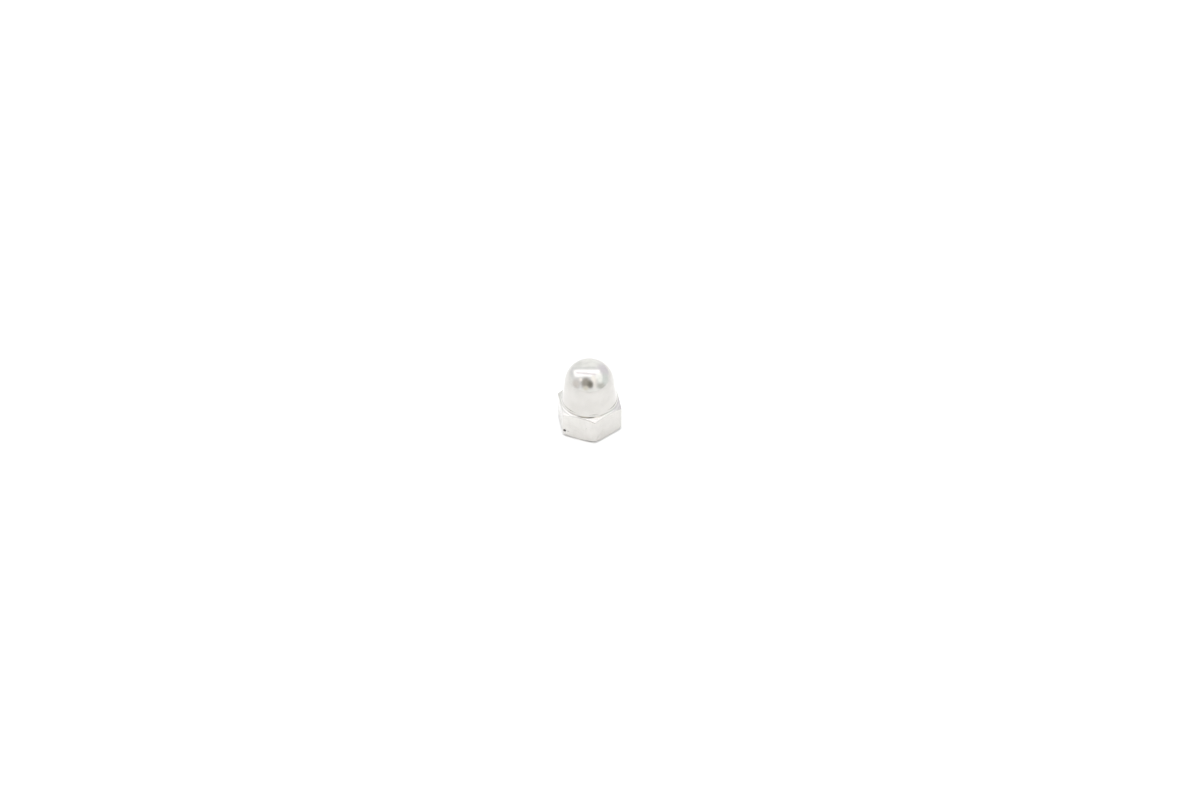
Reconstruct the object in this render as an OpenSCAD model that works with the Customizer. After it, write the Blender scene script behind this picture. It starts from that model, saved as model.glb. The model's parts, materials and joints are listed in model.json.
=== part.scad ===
// Domed hexagon cap nut, turned in one piece from hexagon bar, with a blind thread from below.
// Lengths are in millimetres and angles in degrees.
// Frame: origin at the centre of the bearing face, +Z along the thread axis towards the dome.
// One corner of the hexagon points to -Y, and two of its flats face -X and +X.

/* [Hexagon] */
// Width across the flats
across_flats = 8; // [6.6:0.1:10]
// Height from the bearing face to the foot of the dome
hex_h = 4; // [3:0.1:5]
// Slope of the chamfer cones below and above the hexagon, from the horizontal
chamfer_angle = 25; // [15:1:35]
// Step from the flats in to the rim of the bearing face
bearing_inset = 0.2; // [0.05:0.05:0.6]

/* [Dome] */
// Height of the whole nut
total_h = 10.2; // [8:0.1:13]
// Step from the flats in to the foot of the dome
dome_inset = 0.25; // [0.1:0.05:0.5]
// Lean of the dome's side, from the vertical, up to its round tip
dome_taper = 7; // [3:0.5:12]
// Radius of the hollow turned into the corner between the dome and the upper chamfer
neck_r = 0.5; // [0.1:0.05:0.8]
// Depth that the hollow sinks below the dome's side and the chamfer
neck_depth = 0.02; // [0.01:0.01:0.05]

/* [Threaded hole] */
// Nominal diameter of the thread
thread_d = 5; // [4:0.5:6]
// Pitch of the thread
thread_pitch = 0.8; // [0.5:0.05:1]
// Step from the nominal diameter out to the rim of the countersink
mouth_step = 0.25; // [0.05:0.05:0.4]
// Angle of the countersink, from side to side
mouth_angle = 120; // [90:5:130]
// Angle of the hole's pointed end, from side to side
drill_angle = 118; // [90:2:140]
// Metal left between the point of the hole and the top of the dome
crown_wall = 1.45; // [0.8:0.05:2.5]

/* [Hidden] */
$fn = 96;
overrun = 0.2;
tip_fullness = 0.001;

flat_r = across_flats / 2;
corner_r = flat_r / cos(30);
bearing_r = flat_r - bearing_inset;

// The turned outline, as points [radius, height]
blank_r = corner_r + overrun;
foot = [flat_r - dome_inset, hex_h];
low_chamfer_z = (blank_r - bearing_r) * tan(chamfer_angle);
high_chamfer_z = hex_h - (blank_r - foot[0]) * tan(chamfer_angle);

// A ball that touches the leaning side and the top of the nut, made a hair fuller than that
// so that the side runs cleanly into it
touching_r = (foot[0] * cos(dome_taper) - (total_h - hex_h) * sin(dome_taper)) / (1 - sin(dome_taper));
tip_r = touching_r + tip_fullness;
tip_z = total_h - tip_r;
shoulder = [touching_r * cos(dome_taper), total_h - touching_r + touching_r * sin(dome_taper)];

// The hollow of the neck sinks equally deep into the dome's side and the upper chamfer
side_normal = [cos(dome_taper), sin(dome_taper)];
chamfer_normal = [sin(chamfer_angle), cos(chamfer_angle)];
neck_reach = (neck_r - neck_depth) / (1 + side_normal * chamfer_normal);
neck_centre = foot + neck_reach * (side_normal + chamfer_normal);

// The hole is drilled at the thread's core diameter
hole_r = (thread_d - thread_pitch) / 2;
mouth_r = thread_d / 2 + mouth_step;
mouth_h = (mouth_r - hole_r) / tan(mouth_angle / 2);
point_h = hole_r / tan(drill_angle / 2);
point_z = total_h - crown_wall;

// Half section of the turned shape below the round tip
module turned_side() {
    polygon([
        [0, 0],
        [bearing_r, 0],
        [blank_r, low_chamfer_z],
        [blank_r, high_chamfer_z],
        foot,
        shoulder,
        [0, shoulder[1]]
    ]);
}

// Half section of the round tip
module round_tip() {
    intersection() {
        translate([0, tip_z]) circle(tip_r);
        translate([0, shoulder[1] - overrun]) square([tip_r + overrun, tip_r]);
    }
}

// Section of the metal left in the corner of the neck, before its hollow is turned
module neck_corner() {
    polygon([
        foot - overrun * (side_normal + chamfer_normal),
        neck_centre - neck_r * chamfer_normal,
        neck_centre,
        neck_centre - neck_r * side_normal
    ]);
}

// The bar after turning, before the hole is drilled
module turned_bar() {
    intersection() {
        rotate([0, 0, 30]) cylinder(h = total_h + overrun, r = corner_r, $fn = 6);
        rotate_extrude() difference() {
            union() {
                turned_side();
                round_tip();
                neck_corner();
            }
            translate(neck_centre) circle(neck_r);
        }
    }
}

// The blind hole: countersink, core of the thread and drill point
module hole() {
    rotate_extrude() polygon([
        [0, -overrun],
        [mouth_r + overrun * tan(mouth_angle / 2), -overrun],
        [hole_r, mouth_h],
        [hole_r, point_z - point_h],
        [0, point_z]
    ]);
}

module cap_nut() {
    color("silver") difference() {
        turned_bar();
        hole();
    }
}

cap_nut();
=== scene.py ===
"""Looks of a domed cap nut: bright nickel plate over turned and drawn steel.

The nut is one closed skin around its axis, worked out as whole arrays: a row for each place along
its outline, from the top of the dome down, under the bearing face and up the threaded hole, and a
column for each direction round the axis. Lengths are in metres.
"""

import json
import math

import bpy
import numpy as np
from mathutils import Matrix, Vector


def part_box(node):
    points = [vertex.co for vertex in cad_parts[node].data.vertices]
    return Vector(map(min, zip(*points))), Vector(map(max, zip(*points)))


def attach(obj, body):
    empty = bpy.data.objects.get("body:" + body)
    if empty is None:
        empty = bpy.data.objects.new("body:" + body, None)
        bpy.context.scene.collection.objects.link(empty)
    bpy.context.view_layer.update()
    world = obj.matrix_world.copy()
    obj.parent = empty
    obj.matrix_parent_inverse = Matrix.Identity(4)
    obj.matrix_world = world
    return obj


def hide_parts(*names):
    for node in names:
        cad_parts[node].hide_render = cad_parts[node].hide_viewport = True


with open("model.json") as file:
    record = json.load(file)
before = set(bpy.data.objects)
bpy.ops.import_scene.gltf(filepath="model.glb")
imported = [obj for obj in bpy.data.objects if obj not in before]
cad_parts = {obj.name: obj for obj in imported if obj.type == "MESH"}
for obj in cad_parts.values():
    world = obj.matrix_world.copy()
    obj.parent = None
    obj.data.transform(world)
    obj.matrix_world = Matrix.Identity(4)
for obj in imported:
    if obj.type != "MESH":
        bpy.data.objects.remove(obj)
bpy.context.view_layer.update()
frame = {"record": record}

MM = 0.001

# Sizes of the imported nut
_, NUT_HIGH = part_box("cap_nut")
HOLE = next(m for m in frame["record"]["mounts"] if m["name"] == "threaded_hole")
FLAT_R = NUT_HIGH.x
TOTAL_H = NUT_HIGH.z
CORE_R = HOLE["dims"]["r_mm"] * MM
CORE_HIGH = HOLE["pos_m"][2] + HOLE["dims"]["length_mm"] * MM / 2

# Sizes that the part's source gives
HEX_H = 4.0 * MM
BEARING_R = FLAT_R - 0.2 * MM
FOOT_R = FLAT_R - 0.25 * MM
CHAMFER = math.radians(25)
TAPER = math.radians(7)
NECK_R = 0.5 * MM
NECK_DEPTH = 0.02 * MM
MOUTH_R = 2.75 * MM
MOUTH_HALF_ANGLE = math.radians(60)
DRILL_HALF_ANGLE = math.radians(59)
THREAD_R = 2.5 * MM
PITCH = 0.8 * MM

# Edges rounded by tumbling and plating
BAR_CORNER_R = 0.12 * MM
EDGE_R = 0.14 * MM
BEARING_EDGE_R = 0.08 * MM
MOUTH_EDGE_R = 0.03 * MM
EASE = 0.012 * MM  # width of the narrow rows that keep shading on its own face

# Where scratches are read from noise on the surface unrolled round the axis: the radius at which
# they are as long as they look, and how many mm apart upright faces and climbing ones are read
UNROLLED_R = 4.2 * MM
APART = 23.0

# Knocks in the plating: angle round the axis, height, reach and depth
KNOCKS = [
    (212.5, 1.02 * MM, 0.26 * MM, 0.090 * MM),
    (218.5, 1.00 * MM, 0.12 * MM, 0.015 * MM),
]

# The lens looks down on the nut, with one corner of the hexagon just right of the middle
LENS_AZIMUTH = math.radians(-9.3)
LENS_ELEVATION = math.radians(42)
LENS_DISTANCE = 244.6 * MM
LENS_FOCAL_MM = 54.0
AIM_RIGHT = 1.44 * MM
AIM_UP = 2.84 * MM

FACES = ["dome", "chamfer", "flat", "bore"]


# ---------------------------------------------------------------- outline

def place(radius, height, count):
    """A point of the outline, the same in every direction: an array of count rows [radius, height]."""
    return np.tile([radius, height], (count, 1))


def unit(v):
    """Each row divided by its length."""
    return v / np.linalg.norm(v, axis=-1, keepdims=True)


def rounded(before, corner, after, radius, steps):
    """The arc of that radius that touches both lines meeting at corner.

    It begins radius * tan(turn / 2) short of the corner. A point at share s of the arc is the centre,
    less radius times the side direction turned by s * turn.
    """
    ahead = unit(corner - before)
    away = unit(after - corner)
    cross = ahead[:, 0] * away[:, 1] - ahead[:, 1] * away[:, 0]
    turn = np.arctan2(np.abs(cross), (ahead * away).sum(1))
    side = np.sign(cross)[:, None] * np.stack([-ahead[:, 1], ahead[:, 0]], 1)
    start = corner - (radius * np.tan(turn / 2))[:, None] * ahead
    centre = start + radius * side
    swept = np.linspace(0, 1, steps + 1)[:, None, None] * turn[None, :, None]
    return centre - radius * (side * np.cos(swept) - ahead * np.sin(swept))


def straight(start, end, rows):
    """Rows between two points, with a narrow row at each end, and neither end itself."""
    length = np.linalg.norm(end - start, axis=1)[:, None]
    ease = np.minimum(EASE / length, 0.2)
    shares = np.linspace(0, 1, rows + 1)[:, None, None]
    return start + (ease + (1 - 2 * ease) * shares) * (end - start)


def directions():
    """Angles of the columns round the axis, and the bar's radius at each.

    A flat face gives flat_r / cos(angle from its normal). A corner of the bar is an arc about a
    centre at (flat_r - corner radius) / cos 30, met by a ray at the angle from the corner.
    """
    flat_columns, corner_columns = 26, 6
    flat_end = math.atan(math.tan(math.pi / 6) * (1 - BAR_CORNER_R / FLAT_R))
    ease = math.radians(0.2)
    on_flat = np.linspace(-flat_end + ease, flat_end - ease, flat_columns)
    on_corner = np.linspace(flat_end, math.pi / 3 - flat_end, corner_columns + 1)
    sector = np.concatenate([on_flat, on_corner])
    angles = (np.arange(6)[:, None] * math.pi / 3 + sector).ravel()
    from_normal = np.abs((angles + math.pi / 6) % (math.pi / 3) - math.pi / 6)
    centre_r = (FLAT_R - BAR_CORNER_R) / math.cos(math.pi / 6)
    from_corner = math.pi / 6 - from_normal
    on_arc = centre_r * np.cos(from_corner) + np.sqrt(
        np.maximum(BAR_CORNER_R**2 - (centre_r * np.sin(from_corner)) ** 2, 0)
    )
    bar_r = np.where(from_normal < flat_end, FLAT_R / np.cos(from_normal), on_arc)
    return angles, bar_r


def dome_rows(count):
    """The round tip from its top down, then the leaning side as far as the neck.

    The tip's radius is the one that touches the top of the nut and the leaning side.
    """
    lean = math.sin(TAPER)
    tip_r = (FOOT_R * math.cos(TAPER) - (TOTAL_H - HEX_H) * lean) / (1 - lean)
    tip_rows, side_rows = 43, 12
    around = np.linspace(math.pi / 2, TAPER, tip_rows + 1)[1:]
    tip = np.stack([tip_r * np.cos(around), TOTAL_H - tip_r + tip_r * np.sin(around)], 1)
    tip = np.repeat(tip[:, None, :], count, axis=1)
    _, neck_start, _ = neck_circle()
    return [tip, straight(tip[-1], place(*neck_start, count), side_rows)]


def neck_circle():
    """The hollow of the neck: its centre, and where it cuts the dome's side and the upper chamfer.

    Its centre stands (radius - depth) off both lines, and it cuts each line half a chord away.
    """
    side = np.array([math.cos(TAPER), math.sin(TAPER)])
    top = np.array([math.sin(CHAMFER), math.cos(CHAMFER)])
    stand = NECK_R - NECK_DEPTH
    centre = np.array([FOOT_R, HEX_H]) + stand * (side + top) / (1 + side @ top)
    chord = math.sqrt(NECK_R**2 - stand**2)
    upper = centre - stand * side + chord * np.array([-math.sin(TAPER), math.cos(TAPER)])
    lower = centre - stand * top + chord * np.array([math.cos(CHAMFER), -math.sin(CHAMFER)])
    return centre, upper, lower


def shoulder_height(radius):
    """Height of the hexagon's top at a radius: the lower of the chamfer cone and the neck's hollow."""
    centre, _, _ = neck_circle()
    cone = HEX_H - (radius - FOOT_R) * math.tan(CHAMFER)
    hollow = centre[1] - np.sqrt(np.maximum(NECK_R**2 - (radius - centre[0]) ** 2, 0))
    return np.where(np.abs(radius - centre[0]) < NECK_R, np.minimum(cone, hollow), cone)


def neck_rows(last_r):
    """The hollow arc, turned evenly about its centre, from the dome's side out to the radius last_r."""
    steps = 18
    centre, upper, _ = neck_circle()
    first = math.atan2(*(upper - centre)[::-1])
    last = 2 * math.pi - np.arccos((last_r - centre[0]) / NECK_R)
    turned = first + np.linspace(0, 1, steps + 1)[:, None] * (last - first)
    return centre + NECK_R * np.stack([np.cos(turned), np.sin(turned)], 2)


def hexagon_rows(bar_r):
    """Neck, upper chamfer, flat and lower chamfer, which meet where the cones cut the flats.

    Near the middle of a flat the neck's hollow runs straight out into it, and no chamfer is left.
    """
    count = len(bar_r)
    _, _, neck_end = neck_circle()
    upper_edge = np.stack([bar_r, shoulder_height(bar_r)], 1)
    lower_edge = np.stack([bar_r, (bar_r - BEARING_R) * math.tan(CHAMFER)], 1)
    near_edge = np.stack([bar_r - EDGE_R, shoulder_height(bar_r - EDGE_R)], 1)
    bearing_edge = place(BEARING_R, 0, count)
    mouth_edge = place(MOUTH_R, 0, count)
    upper = rounded(near_edge, upper_edge, lower_edge, EDGE_R, 8)
    lower = rounded(upper_edge, lower_edge, bearing_edge, EDGE_R, 6)
    bearing = rounded(lower_edge, bearing_edge, mouth_edge, BEARING_EDGE_R, 4)
    neck = neck_rows(np.minimum(neck_end[0], upper[0, :, 0] - EASE))
    return [
        ("dome", neck),
        ("chamfer", straight(neck[-1], upper[0], 5)),
        ("chamfer", upper[:5]),
        ("flat", upper[5:]),
        ("flat", straight(upper[-1], lower[0], 44)),
        ("flat", lower[:3]),
        ("chamfer", lower[3:]),
        ("chamfer", straight(lower[-1], bearing[0], 5)),
        ("chamfer", bearing),
    ]


def mouth_rows(count):
    """The bearing face inwards, and the rounded rim where the countersink begins."""
    bearing_edge = place(BEARING_R, 0, count)
    mouth_edge = place(MOUTH_R, 0, count)
    inwards = place(CORE_R, (MOUTH_R - CORE_R) / math.tan(MOUTH_HALF_ANGLE), count)
    rim = rounded(bearing_edge, mouth_edge, inwards, MOUTH_EDGE_R, 3)
    face = straight(place(BEARING_R - 0.03 * MM, 0, count), rim[0], 8)
    return [("chamfer", face), ("chamfer", rim)]


def thread_rows(angles, start):
    """The countersink and the thread: at each height the wider of the cone and the screw.

    The screw's phase is height / pitch - angle / full turn, so it is right-handed. Its flanks lean
    30 degrees from level, between a flat of an eighth of the pitch at its root and the hole's core.
    It fades out over its last pitch.
    """
    rows = 204
    screw_end = 6.4 * MM
    height = np.linspace(start, CORE_HIGH - 0.05 * MM, rows + 1)[1:, None]
    phase = (height / PITCH - angles[None] / (2 * math.pi)) % 1.0
    from_root = np.abs(phase - 0.5) * PITCH
    flank = (from_root - PITCH / 16) / math.tan(math.radians(30))
    full = np.clip((screw_end - height) / PITCH, 0, 1)
    depth = np.clip(THREAD_R - CORE_R - flank, 0, THREAD_R - CORE_R) * full
    screw = CORE_R + depth
    cone = MOUTH_R - height * math.tan(MOUTH_HALF_ANGLE)
    gap = 0.02 * MM
    wall = np.maximum(screw, cone) + np.exp(-np.abs(screw - cone) / gap) * gap * 0.2
    return np.stack([wall, np.broadcast_to(height, wall.shape)], 2)


def drill_rows(count):
    """The plain end of the hole and the cone that the drill's point leaves."""
    corner = place(CORE_R, CORE_HIGH, count)
    tip_z = CORE_HIGH + CORE_R / math.tan(DRILL_HALF_ANGLE)
    tip = place(0, tip_z, count)
    edge = rounded(place(CORE_R, CORE_HIGH - MM, count), corner, tip, EDGE_R, 4)
    cone = straight(edge[-1], place(0.05 * MM, tip_z - 0.03 * MM, count), 8)
    return [edge, cone], tip_z


# ---------------------------------------------------------------- skin

def knock_centre(angle, height):
    """Where a knock meets the flat face, before anything is pressed in."""
    turned = math.radians(angle)
    off_normal = abs((turned + math.pi / 6) % (math.pi / 3) - math.pi / 6)
    radius = FLAT_R / math.cos(off_normal)
    return np.array([radius * math.cos(turned), radius * math.sin(turned), height])


def knocked(points):
    """Presses each knock in, towards the axis, as a round hollow: depth * exp(-(distance / reach)^2)."""
    axis_side = points * [1, 1, 0]
    inwards = -axis_side / np.maximum(np.linalg.norm(axis_side, axis=1, keepdims=True), MM / 100)
    outer = np.linalg.norm(axis_side, axis=1) > THREAD_R + MM / 2
    for angle, height, reach, depth in KNOCKS:
        distance = np.linalg.norm(points - knock_centre(angle, height), axis=1)
        pressed = depth * np.exp(-((distance / reach) ** 2)) * outer
        points = points + inwards * pressed[:, None]
    return points


def skin(top_z, rows, bottom_z, angles):
    """Vertices and faces of a closed skin from its named rows, with a point at each end.

    A row's point [radius, height] stands at (radius cos angle, radius sin angle, height).
    """
    outline = np.concatenate([block for _, block in rows])
    kinds = np.concatenate([[FACES.index(name)] * len(block) for name, block in rows])
    count, columns = outline.shape[:2]
    ring = np.stack(
        [
            outline[:, :, 0] * np.cos(angles),
            outline[:, :, 0] * np.sin(angles),
            outline[:, :, 1],
        ],
        2,
    ).reshape(-1, 3)
    points = np.concatenate([ring, [[0, 0, top_z], [0, 0, bottom_z]]])
    top, bottom = count * columns, count * columns + 1
    here = np.arange(columns)
    beside = (here + 1) % columns
    base = np.arange(count - 1)[:, None] * columns
    quads = np.stack(
        [base + here, base + columns + here, base + columns + beside, base + beside], 2
    ).reshape(-1, 4)
    last = (count - 1) * columns
    top_fan = np.stack([np.full(columns, top), here, beside], 1)
    bottom_fan = np.stack([last + here, np.full(columns, bottom), last + beside], 1)
    faces = quads.tolist() + top_fan.tolist() + bottom_fan.tolist()
    face_kinds = np.concatenate(
        [np.repeat(kinds[1:], columns), [kinds[0]] * columns, [kinds[-1]] * columns]
    )
    return knocked(points), faces, face_kinds


def cap_nut():
    """The nut's one closed skin, as a mesh object at the origin."""
    angles, bar_r = directions()
    count = len(angles)
    rows = [("dome", block) for block in dome_rows(count)]
    rows += hexagon_rows(bar_r)
    rows += mouth_rows(count)
    start = rows[-1][1][-1, 0, 1]
    rows.append(("bore", thread_rows(angles, start)))
    drilled, tip_z = drill_rows(count)
    rows += [("bore", block) for block in drilled]
    points, faces, kinds = skin(TOTAL_H, rows, tip_z, angles)
    mesh = bpy.data.meshes.new("cap_nut_skin")
    mesh.from_pydata(points.tolist(), [], faces)
    mesh.polygons.foreach_set("material_index", kinds.astype(np.int32))
    mesh.polygons.foreach_set("use_smooth", np.ones(len(faces), bool))
    mesh.update()
    nut = bpy.data.objects.new("cap_nut_skin", mesh)
    bpy.context.scene.collection.objects.link(nut)
    return nut


# ---------------------------------------------------------------- node helpers

def add(tree, kind, inputs=(), **settings):
    """A new node with its settings, and each named input set to a value or joined to a socket."""
    made = tree.nodes.new(kind)
    for name, value in settings.items():
        setattr(made, name, value)
    for key, value in dict(inputs).items():
        if isinstance(value, bpy.types.NodeSocket):
            tree.links.new(value, made.inputs[key])
        else:
            made.inputs[key].default_value = value
    return made


def calc(tree, operation, *values):
    """The result of a Math node."""
    return add(tree, "ShaderNodeMath", enumerate(values), operation=operation).outputs[0]


def combine(tree, x, y, z):
    """A vector from three values."""
    return add(tree, "ShaderNodeCombineXYZ", {"X": x, "Y": y, "Z": z}).outputs[0]


def ramp(tree, value, low, high, to_low, to_high):
    """value eased from to_low at low to to_high at high."""
    inputs = {"Value": value, "From Min": low, "From Max": high, "To Min": to_low, "To Max": to_high}
    made = add(tree, "ShaderNodeMapRange", inputs, interpolation_type="SMOOTHSTEP")
    return made.outputs["Result"]


def noise(tree, vector, scale, detail=2.0):
    """A Noise texture's value."""
    inputs = {"Vector": vector, "Scale": scale, "Detail": detail}
    return add(tree, "ShaderNodeTexNoise", inputs).outputs["Fac"]


def mixed(tree, share, first, second):
    """A colour between two."""
    made = add(tree, "ShaderNodeMix", {"Factor": share}, data_type="RGBA")
    for socket, value in ((made.inputs[6], first), (made.inputs[7], second)):
        if isinstance(value, bpy.types.NodeSocket):
            tree.links.new(value, socket)
        else:
            socket.default_value = value
    return made.outputs[2]


def group(name, inputs, output):
    """A new shader group: its tree, its input sockets by name, and a function that sets its output."""
    tree = bpy.data.node_groups.new(name, "ShaderNodeTree")
    for label, kind in inputs:
        tree.interface.new_socket(label, in_out="INPUT", socket_type=kind)
    tree.interface.new_socket(output, in_out="OUTPUT", socket_type="NodeSocketFloat")
    entry = tree.nodes.new("NodeGroupInput")
    leave = tree.nodes.new("NodeGroupOutput")
    return tree, entry.outputs, lambda socket: tree.links.new(socket, leave.inputs[output])


def use(tree, made, inputs):
    """The output of a group placed in a material."""
    holder = tree.nodes.new("ShaderNodeGroup")
    holder.node_tree = made
    for key, value in inputs.items():
        if isinstance(value, bpy.types.NodeSocket):
            tree.links.new(value, holder.inputs[key])
        else:
            holder.inputs[key].default_value = value
    return holder.outputs[0]


# ---------------------------------------------------------------- shared effects

def turning_lines():
    """Height of fine tool lines that run round the axis.

    The noise is read at (direction round the axis * wander, (height - radius) * lines per mm), so it
    changes fast across a line and slowly along it, and has no seam.
    """
    tree, given, give = group(
        "turning_lines",
        [("Place", "NodeSocketVector"), ("Lines", "NodeSocketFloat"), ("Wander", "NodeSocketFloat")],
        "Height",
    )
    apart = add(tree, "ShaderNodeSeparateXYZ", {0: given["Place"]}).outputs
    flat = combine(tree, apart["X"], apart["Y"], 0.0)
    radius = add(tree, "ShaderNodeVectorMath", {0: flat}, operation="LENGTH").outputs["Value"]
    around = add(tree, "ShaderNodeVectorMath", {0: flat}, operation="NORMALIZE").outputs[0]
    around = add(
        tree, "ShaderNodeVectorMath", {0: around, "Scale": given["Wander"]}, operation="SCALE"
    ).outputs[0]
    across = calc(tree, "MULTIPLY", calc(tree, "SUBTRACT", apart["Z"], radius), given["Lines"])
    spread = add(tree, "ShaderNodeVectorMath", {0: around, 1: combine(tree, 0.0, 0.0, across)})
    give(noise(tree, spread.outputs[0], 1.0, 3.0))
    return tree


def hairlines():
    """Height of hairline scratches: short pieces of level lines of noise drawn out in three directions.

    The noise lies on the surface unrolled round the axis. Inwards is 1 where the surface climbs inwards
    as a dome does, and 0 where it stands upright, so that the two never show the same scratches.
    """
    tree, given, give = group(
        "hairlines",
        [
            ("Place", "NodeSocketVector"),
            ("Width", "NodeSocketFloat"),
            ("Inwards", "NodeSocketFloat"),
        ],
        "Height",
    )
    apart = add(tree, "ShaderNodeSeparateXYZ", {0: given["Place"]}).outputs
    flat = combine(tree, apart["X"], apart["Y"], 0.0)
    radius = add(tree, "ShaderNodeVectorMath", {0: flat}, operation="LENGTH").outputs["Value"]
    around = calc(tree, "MULTIPLY", calc(tree, "ARCTAN2", apart["Y"], apart["X"]), UNROLLED_R / MM)
    inwards = calc(tree, "MULTIPLY", calc(tree, "ADD", radius, APART), given["Inwards"])
    unrolled = combine(tree, around, calc(tree, "SUBTRACT", apart["Z"], inwards), 0.0)
    lowest = 1.0
    for turn in (0.45, 1.35, 2.30):
        across = drawn_out(tree, unrolled, turn, length=16.0, scale=1.9)
        level = calc(tree, "ABSOLUTE", calc(tree, "SUBTRACT", across, 0.5))
        line = ramp(tree, calc(tree, "DIVIDE", level, given["Width"]), 0.2, 1.0, 1.0, 0.0)
        patch = drawn_out(tree, unrolled, turn, length=2.5, scale=1.2)
        piece = ramp(tree, patch, 0.54, 0.64, 0.0, 1.0)
        shown = calc(tree, "MULTIPLY", line, piece)
        lowest = calc(tree, "MINIMUM", calc(tree, "SUBTRACT", 1.0, shown), lowest)
    give(lowest)
    return tree


def drawn_out(tree, vector, turn, length, scale):
    """Flat noise drawn out to length times its width, in a direction turned by turn."""
    inputs = {"Vector": vector, "Rotation": (0.0, 0.0, turn), "Scale": (1.0, length, 1.0)}
    laid = add(tree, "ShaderNodeMapping", inputs, vector_type="TEXTURE").outputs[0]
    inputs = {"Vector": laid, "Scale": scale, "Detail": 0.0}
    return add(tree, "ShaderNodeTexNoise", inputs, noise_dimensions="2D").outputs["Fac"]


def plating_haze():
    """Mask, 0 to 1, of where the plating is a little duller: broad clouds with a finer grain in them."""
    tree, given, give = group("plating_haze", [("Place", "NodeSocketVector")], "Mask")
    broad = noise(tree, given["Place"], 0.7, 4.0)
    fine = noise(tree, given["Place"], 9.0, 2.0)
    both = calc(tree, "ADD", calc(tree, "MULTIPLY", broad, 0.75), calc(tree, "MULTIPLY", fine, 0.25))
    give(ramp(tree, both, 0.38, 0.62, 0.0, 1.0))
    return tree


def knock_mask():
    """Mask, 0 to 1, of darkened metal in the knocks, with a ragged edge near a knock's reach."""
    tree, given, give = group("knock_mask", [("Place", "NodeSocketVector")], "Mask")
    wobble = calc(tree, "SUBTRACT", noise(tree, given["Place"], 6.0), 0.5)
    most = 0.0
    for angle, height, reach, depth in KNOCKS:
        centre = Vector(knock_centre(angle, height)) / MM
        away = add(
            tree, "ShaderNodeVectorMath", {0: given["Place"], 1: centre}, operation="DISTANCE"
        ).outputs["Value"]
        strength = min(depth / KNOCKS[0][3] + 0.25, 1.0)
        ragged = calc(tree, "MULTIPLY_ADD", wobble, 0.7 * reach / MM, away)
        spot = ramp(tree, ragged, 0.5 * reach / MM, 1.1 * reach / MM, strength, 0.0)
        most = calc(tree, "MAXIMUM", most, spot)
    give(most)
    return tree


# ---------------------------------------------------------------- finishes

# Nickel plate's colour where it is clean and where it is hazy, over turned and over drawn steel. The
# colour over drawn steel is painted lighter, which brightens the flats as more light would
OVER_TURNED = (0.63, 0.615, 0.585, 1.0), (0.59, 0.575, 0.545, 1.0)
DRAWN_PAINTED_LIGHTER = (0.715, 0.70, 0.67, 1.0), (0.675, 0.66, 0.63, 1.0)
# Painted shade: the colour that the low places of tool lines, drawing marks and scratches are darkened
# towards
GROOVE_SHADE = (0.34, 0.33, 0.31, 1.0)  # in the lowest places of lines and scratches
# The colour that the knocks are darkened towards, nearly black
KNOCK_DARK_COLOUR = (0.05, 0.047, 0.045, 1.0)  # in the knocks


def nickel(name, effects, colours, roughness, marks):
    """Bright nickel plate. colours and roughness are (clean, hazy).

    Each of the marks is an effect's name or a noise's scale, its inputs, how high it stands in metres,
    and how much painted shade darkens its low places.
    """
    material = bpy.data.materials.new(name)
    material.use_nodes = True
    tree = material.node_tree
    surface = tree.nodes["Principled BSDF"]
    surface.inputs["Metallic"].default_value = 1.0
    where = add(tree, "ShaderNodeTexCoord").outputs["Object"]
    in_mm = add(
        tree, "ShaderNodeVectorMath", {0: where, "Scale": 1 / MM}, operation="SCALE"
    ).outputs[0]
    haze = use(tree, effects["haze"], {"Place": in_mm})
    knock_darkening = use(tree, effects["knocks"], {"Place": in_mm})
    painted_shade = 0.0
    normal = None
    for effect, inputs, height, shade_depth in marks:
        if isinstance(effect, str):
            value = use(tree, effects[effect], {"Place": in_mm, **inputs})
        else:
            value = noise(tree, in_mm, effect, 2.0)
        low = calc(tree, "SUBTRACT", 1.0, value)
        painted_shade = calc(tree, "MULTIPLY_ADD", low, shade_depth, painted_shade)
        bump_inputs = {"Height": value, "Strength": 1.0, "Distance": height}
        if normal is not None:
            bump_inputs["Normal"] = normal
        normal = add(tree, "ShaderNodeBump", bump_inputs).outputs["Normal"]
    tree.links.new(normal, surface.inputs["Normal"])
    colour = mixed(tree, haze, *colours)
    # Painted shade: the colour is darkened in the low places of the marks
    colour = mixed(tree, painted_shade, colour, GROOVE_SHADE)
    tree.links.new(mixed(tree, knock_darkening, colour, KNOCK_DARK_COLOUR), surface.inputs["Base Color"])
    rough = ramp(tree, haze, 0.0, 1.0, *roughness)
    rough = calc(tree, "MULTIPLY_ADD", painted_shade, 0.4, rough)
    rough = calc(tree, "MULTIPLY_ADD", knock_darkening, 0.3, rough)
    tree.links.new(rough, surface.inputs["Roughness"])
    return material


def dome_finish(effects):
    """Polished before plating: a soft waviness, faint tool lines and hairlines."""
    marks = [
        (1.5, {}, 2.4e-6, 0.0),
        ("lines", {"Lines": 12.0, "Wander": 1.2}, 1.0e-6, 0.10),
        ("hairlines", {"Width": 0.010, "Inwards": 1.0}, 0.5e-6, 0.15),
    ]
    return nickel("bright_nickel_polished", effects, OVER_TURNED, (0.05, 0.11), marks)


def chamfer_finish(effects):
    """As turned: clear tool lines under the plate."""
    marks = [
        (2.0, {}, 1.2e-6, 0.0),
        ("lines", {"Lines": 16.0, "Wander": 0.8}, 2.0e-6, 0.22),
        ("hairlines", {"Width": 0.010, "Inwards": 1.0}, 0.5e-6, 0.15),
    ]
    return nickel("bright_nickel_turned", effects, OVER_TURNED, (0.12, 0.19), marks)


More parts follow.
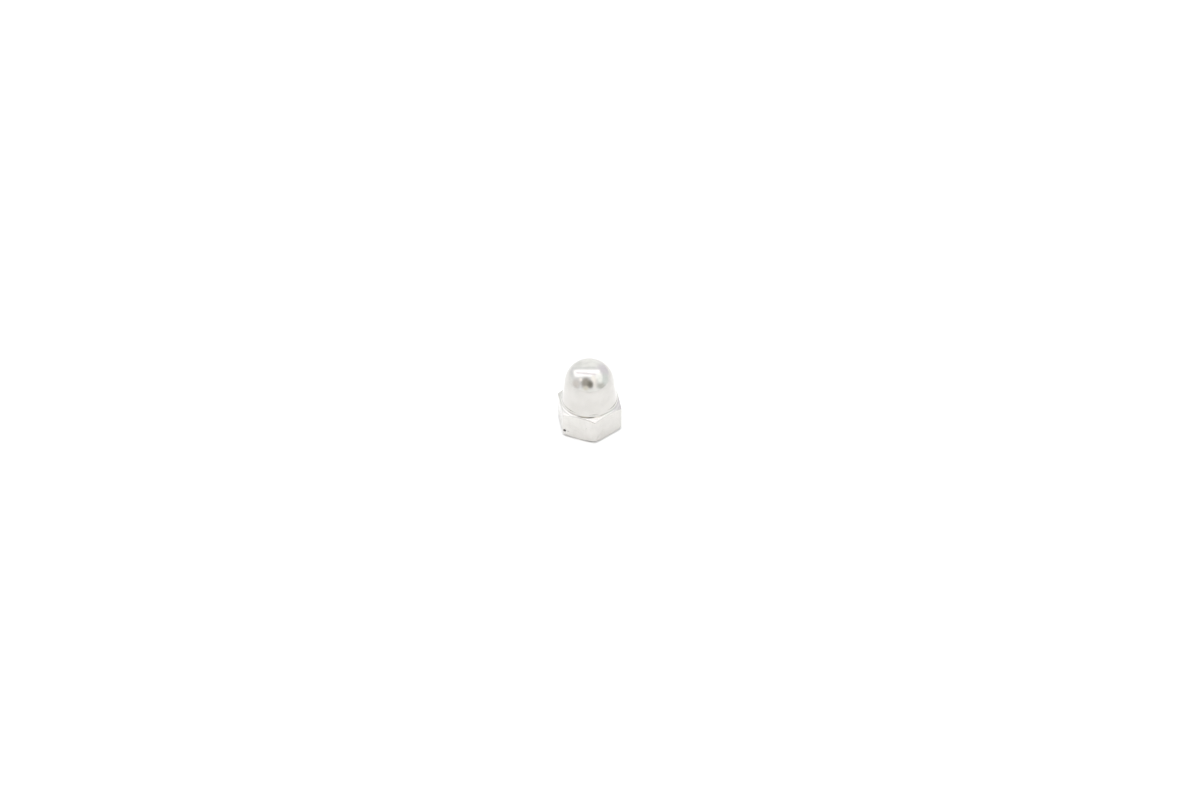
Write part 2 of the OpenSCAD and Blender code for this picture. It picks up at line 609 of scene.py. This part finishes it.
def flat_finish(effects):
    """As drawn: shallow unevenness, and hairlines where a spanner and other nuts have rubbed."""
    marks = [
        (1.1, {}, 4.0e-6, 0.0),
        ("draw_marks", {}, 2.0e-6, 0.20),
        ("hairlines", {"Width": 0.010, "Inwards": 0.0}, 0.6e-6, 0.14),
    ]
    # Painted light: the flats' colours are lighter than the turned faces', standing in for light on the
    # flats
    return nickel("bright_nickel_drawn", effects, DRAWN_PAINTED_LIGHTER, (0.14, 0.22), marks)


def bore_finish(effects):
    """Thin plate over a tapped wall."""
    marks = [
        (4.0, {}, 2.0e-6, 0.0),
        ("lines", {"Lines": 9.0, "Wander": 2.0}, 1.5e-6, 0.35),
    ]
    return nickel("bright_nickel_tapped", effects, OVER_TURNED, (0.24, 0.34), marks)


def draw_marks():
    """Height of the bar's drawing marks: noise squeezed across the flats and long up the axis."""
    tree, given, give = group("draw_marks", [("Place", "NodeSocketVector")], "Height")
    inputs = {"Vector": given["Place"], "Scale": (14.0, 14.0, 0.45)}
    laid = add(tree, "ShaderNodeMapping", inputs).outputs[0]
    give(noise(tree, laid, 1.0, 3.0))
    return tree


# ---------------------------------------------------------------- studio

TO_LENS = Vector(
    (
        math.sin(LENS_AZIMUTH) * math.cos(LENS_ELEVATION),
        -math.cos(LENS_AZIMUTH) * math.cos(LENS_ELEVATION),
        math.sin(LENS_ELEVATION),
    )
)
RIGHT = Vector((math.cos(LENS_AZIMUTH), math.sin(LENS_AZIMUTH), 0))
UP = TO_LENS.cross(RIGHT)

TENT = (1.18, 1.205, 1.21, 1.0)
PLAIN = (1.3, 1.3, 1.3, 1.0)


def card(shape, centre, half, softness, colour, flare=0.0, lean=0.0):
    """One thing that stands round the nut, placed as a polished ball shows it.

    centre is right and up from the middle of the ball, and half is its half sizes, in shares of the
    ball's radius. flare is how much wider it grows upwards, and lean how much it climbs to the right.
    """
    return shape, centre, half, softness, (*colour, 1.0), flare, lean


# From the back to the front. The names say what a card looks like in the dome
STUDIO = {
    "back_post": card("disc", (-0.44, 0.75), (0.16, 0.14), 0.60, (1.02, 1.04, 1.05)),
    "tent_opening": card("box", (0.02, 0.172), (0.63, 0.408), 0.07, (0.98, 1.00, 1.04), flare=0.2),
    "opening_hem": card("box", (-0.22, 0.575), (0.48, 0.035), 0.06, (0.97, 1.00, 1.02)),
    "grey_left": card("disc", (-0.67, 0.42), (0.10, 0.24), 0.60, (0.98, 1.00, 1.04)),
    "grey_screen": card("disc", (0.56, 0.50), (0.27, 0.26), 0.55, (0.94, 0.92, 1.00)),
    "teal_screen": card("disc", (0.60, 0.12), (0.15, 0.24), 0.60, (0.92, 0.98, 0.98)),
    "window_gap": card("box", (0.23, 0.00), (0.08, 0.22), 0.10, (1.20, 1.18, 1.15)),
    "stand_right": card("disc", (0.46, -0.12), (0.16, 0.12), 0.60, (0.74, 0.76, 0.73)),
    "stand_left": card("disc", (-0.52, -0.04), (0.15, 0.17), 0.60, (0.88, 0.85, 0.84)),
    "ceiling_light": card("box", (-0.10, 0.375), (0.49, 0.13), 0.08, (1.85, 1.85, 1.90), flare=0.25),
    "light_end": card("disc", (0.36, 0.28), (0.13, 0.14), 0.60, (1.50, 1.53, 1.55)),
    "light_fall": card("disc", (0.42, 0.14), (0.09, 0.14), 0.70, (1.35, 1.40, 1.38)),
    "light_drop": card("disc", (0.16, 0.15), (0.09, 0.16), 0.70, (1.40, 1.37, 1.33)),
    "light_seam": card("box", (-0.13, 0.362), (0.40, 0.030), 0.05, (1.00, 0.94, 1.04), lean=-0.10),
    "dark_shape": card("disc", (-0.13, -0.01), (0.18, 0.20), 0.45, (0.50, 0.48, 0.44)),
    "darkest_part": card("disc", (0.04, -0.07), (0.11, 0.14), 0.55, (0.30, 0.29, 0.26)),
    "small_glint": card("disc", (-0.34, 0.13), (0.06, 0.06), 0.60, (1.40, 1.34, 1.32)),
    "warm_foot": card("disc", (-0.14, -0.22), (0.10, 0.09), 0.60, (1.00, 0.97, 0.88)),
}
STUDIO_STRENGTH = 1.13


def ball_place(tree):
    """Right and up on a polished ball of the direction that a world ray takes.

    The ball shows a direction where its surface faces halfway between that direction and the lens.
    """
    ray = add(tree, "ShaderNodeTexCoord").outputs["Generated"]
    halfway = add(tree, "ShaderNodeVectorMath", {0: ray, 1: TO_LENS}).outputs[0]
    halfway = add(tree, "ShaderNodeVectorMath", {0: halfway}, operation="NORMALIZE").outputs[0]
    shares = []
    for axis in (RIGHT, UP):
        dot = add(tree, "ShaderNodeVectorMath", {0: halfway, 1: axis}, operation="DOT_PRODUCT")
        shares.append(dot.outputs["Value"])
    return shares


def card_mask(tree, shares, shape, centre, half, softness, flare, lean):
    """1 inside a soft-edged box or disc on the ball, and 0 outside it."""
    right = calc(tree, "SUBTRACT", shares[0], centre[0])
    up = calc(tree, "SUBTRACT", shares[1], centre[1])
    up = calc(tree, "MULTIPLY_ADD", right, -lean, up)
    reach = calc(tree, "MULTIPLY", calc(tree, "MULTIPLY_ADD", up, flare, 1.0), half[0])
    off = [calc(tree, "DIVIDE", right, reach), calc(tree, "DIVIDE", up, half[1])]
    if shape == "disc":
        flat = combine(tree, off[0], off[1], 0.0)
        far = add(tree, "ShaderNodeVectorMath", {0: flat}, operation="LENGTH").outputs["Value"]
        return ramp(tree, far, 1 - softness, 1 + softness, 1.0, 0.0)
    sides = [
        ramp(tree, calc(tree, "ABSOLUTE", share), 1 - softness / size, 1 + softness / size, 1.0, 0.0)
        for share, size in zip(off, half)
    ]
    return calc(tree, "MULTIPLY", *sides)


def studio_light():
    """A white light tent, open towards the lens. The lens itself sees plain white past the floor."""
    world = bpy.data.worlds.new("light_tent")
    world.use_nodes = True
    bpy.context.scene.world = world
    tree = world.node_tree
    shares = ball_place(tree)
    colour = TENT
    for shape, centre, half, softness, own, flare, lean in STUDIO.values():
        mask = card_mask(tree, shares, shape, centre, half, softness, flare, lean)
        colour = mixed(tree, mask, colour, own)
    background = tree.nodes["Background"]
    tree.links.new(colour, background.inputs["Color"])
    background.inputs["Strength"].default_value = STUDIO_STRENGTH
    plain = add(tree, "ShaderNodeBackground", {"Color": PLAIN})
    seen = add(tree, "ShaderNodeLightPath").outputs["Is Camera Ray"]
    shown = add(
        tree, "ShaderNodeMixShader", {0: seen, 1: background.outputs[0], 2: plain.outputs[0]}
    )
    tree.links.new(shown.outputs[0], tree.nodes["World Output"].inputs["Surface"])


def sheet_lamp():
    """A spotlight from above that fills the nut's shadow on the sheet.

    The plating doesn't mirror it, so it only lights the sheet. At distance d it covers a circle of
    radius d * tan(cone / 2).
    """
    height, reach = 0.5, 24 * MM
    light = bpy.data.lights.new("sheet_lamp", "SPOT")
    light.energy = 9.0
    light.shadow_soft_size = 0.05
    light.spot_size = 2 * math.atan(reach / height)
    light.spot_blend = 0.7
    holder = bpy.data.objects.new("sheet_lamp", light)
    holder.location = (0, 0, height)
    holder.visible_glossy = False
    bpy.context.scene.collection.objects.link(holder)


def floor():
    """A wide round white sheet under the nut: rings of points at growing radii."""
    rings, columns = 12, 96
    radii = np.geomspace(2 * MM, 1.6, rings)[:, None]
    turned = np.linspace(0, 2 * math.pi, columns, endpoint=False)[None]
    flat = np.stack([radii * np.cos(turned), radii * np.sin(turned), np.zeros((rings, columns))], 2)
    points = np.concatenate([flat.reshape(-1, 3), [[0, 0, 0]]])
    here, beside = np.arange(columns), (np.arange(columns) + 1) % columns
    base = np.arange(rings - 1)[:, None] * columns
    quads = np.stack(
        [base + here, base + columns + here, base + columns + beside, base + beside], 2
    ).reshape(-1, 4)
    fan = np.stack([np.full(columns, rings * columns), here, beside], 1)
    mesh = bpy.data.meshes.new("floor")
    mesh.from_pydata(points.tolist(), [], quads.tolist() + fan.tolist())
    sheet = bpy.data.objects.new("floor", mesh)
    bpy.context.scene.collection.objects.link(sheet)
    material = bpy.data.materials.new("white_sheet")
    material.use_nodes = True
    tree = material.node_tree
    surface = tree.nodes["Principled BSDF"]
    where = add(tree, "ShaderNodeTexCoord").outputs["Object"]
    cloud = noise(tree, where, 18.0, 3.0)
    tree.links.new(
        mixed(tree, cloud, (0.93, 0.93, 0.93, 1.0), (0.96, 0.96, 0.955, 1.0)),
        surface.inputs["Base Color"],
    )
    surface.inputs["Roughness"].default_value = 0.7
    surface.inputs["Specular IOR Level"].default_value = 0.2
    mesh.materials.append(material)


def camera():
    """The lens above and in front of the nut, turned so that the nut stands a little off the middle."""
    lens = bpy.data.cameras.new("lens")
    lens.lens = LENS_FOCAL_MM
    lens.sensor_width = 36.0
    lens.clip_start = MM
    lens.clip_end = 10.0
    holder = bpy.data.objects.new("lens", lens)
    bpy.context.scene.collection.objects.link(holder)
    aim = AIM_RIGHT * RIGHT + AIM_UP * UP
    eye = LENS_DISTANCE * TO_LENS
    turn = (aim - eye).to_track_quat("-Z", "Y")
    holder.matrix_world = Matrix.Translation(eye) @ turn.to_matrix().to_4x4()
    bpy.context.scene.camera = holder


def dressed_nut():
    """The nut with a finish on each kind of face."""
    effects = {
        "lines": turning_lines(),
        "hairlines": hairlines(),
        "haze": plating_haze(),
        "knocks": knock_mask(),
        "draw_marks": draw_marks(),
    }
    nut = cap_nut()
    for finish in (dome_finish, chamfer_finish, flat_finish, bore_finish):
        nut.data.materials.append(finish(effects))
    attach(nut, "root")
    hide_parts("cap_nut")


camera()
floor()
sheet_lamp()
studio_light()
dressed_nut()
bpy.context.scene.view_settings.view_transform = "Standard"
